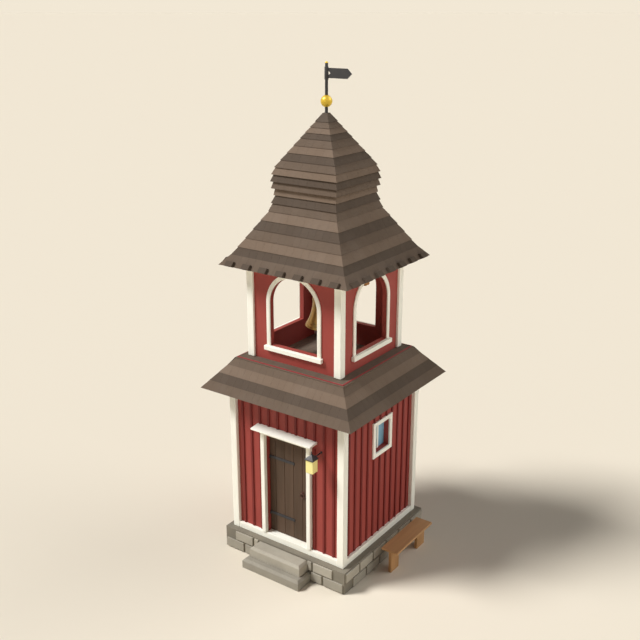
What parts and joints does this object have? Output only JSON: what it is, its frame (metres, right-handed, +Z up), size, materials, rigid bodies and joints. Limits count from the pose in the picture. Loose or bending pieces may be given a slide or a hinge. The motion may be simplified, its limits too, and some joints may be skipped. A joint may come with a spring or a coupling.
{
  "type": "bell tower",
  "caption": "Timber bell tower on a stone plinth: boarded storey with a hinged door, open arched belfry with a swinging bell, curved shingled helm roof and a turning weather vane.",
  "frame": {"origin": "on the ground, under the centre of the tower's square plan", "axes": "+Z up, -Y out of the door wall, +X out of the window wall"},
  "size_m": [3.294, 3.226, 8.548],
  "materials": {
    "masonry": "matte",
    "red_boards": "painted, matte",
    "white_wood": "painted, satin",
    "door_wood": "stained, matte",
    "floor_wood": "weathered, matte",
    "beam_wood": "oiled, matte",
    "bench_wood": "oiled, matte",
    "shingles": "weathered, matte",
    "dark_iron": "matte black",
    "bell_bronze": "satin",
    "gilding": "polished",
    "window_glass": "clear",
    "lamp_glass": "frosted, lit"
  },
  "bodies": {
    "tower": {"plinth": "masonry", "step_lower": "masonry", "step_upper": "masonry", "lower_posts": "white_wood", "base_boards": "white_wood", "ground_floor": "floor_wood", "front_wall_left": "red_boards", "front_wall_right": "red_boards", "front_wall_head": "red_boards", "right_wall": "red_boards", "back_wall": "red_boards", "left_wall": "red_boards", "threshold": "white_wood", "door_jambs": "white_wood", "door_hood": "white_wood", "hinge_pintles": "dark_iron", "lantern_arm": "dark_iron", "lantern_cap": "dark_iron", "lantern_body": "lamp_glass", "window_frame": "white_wood", "window_glass": "window_glass", "window_mullion": "white_wood", "skirt_front_back": "shingles", "skirt_sides": "shingles", "belfry_floor": "floor_wood", "belfry_walls": "red_boards", "belfry_posts": "white_wood", "arch_trims": "white_wood", "belfry_sills": "white_wood", "belfry_ceiling": "white_wood", "bell_carriers": "beam_wood", "bell_beam": "beam_wood", "bell_bracket": "dark_iron", "helm_front_back": "shingles", "helm_sides": "shingles", "helm_cap": "shingles", "finial_rod": "dark_iron", "finial_ball": "gilding", "finial_tip": "gilding", "bench_seat": "bench_wood", "bench_legs": "bench_wood"},
    "door": {"door_leaf": "door_wood", "hinge_straps": "dark_iron", "ring_boss": "dark_iron"},
    "door_ring": {"door_ring": "dark_iron"},
    "bell": {"bell": "bell_bronze", "bell_hanger": "dark_iron"},
    "vane": {"vane": "dark_iron"}
  },
  "joints": [
    {"name": "door_hinge", "type": "hinge", "parent": "tower", "child": "door", "pos_m": [-0.429, -1.072, 0.531], "axis": [0, 0, -1], "range_deg": [0, 95]},
    {"name": "ring_pivot", "type": "hinge", "parent": "door", "child": "door_ring", "pos_m": [0.27, -1.082, 1.486], "axis": [-1, 0, 0], "range_deg": [0, 80]},
    {"name": "bell_swing", "type": "hinge", "parent": "tower", "child": "bell", "pos_m": [0, 0, 4.96], "axis": [1, 0, 0], "range_deg": [-30, 30]},
    {"name": "vane_turn", "type": "hinge", "parent": "tower", "child": "vane", "pos_m": [0, 0, 8.372], "axis": [0, 0, 1], "continuous": true}
  ]
}
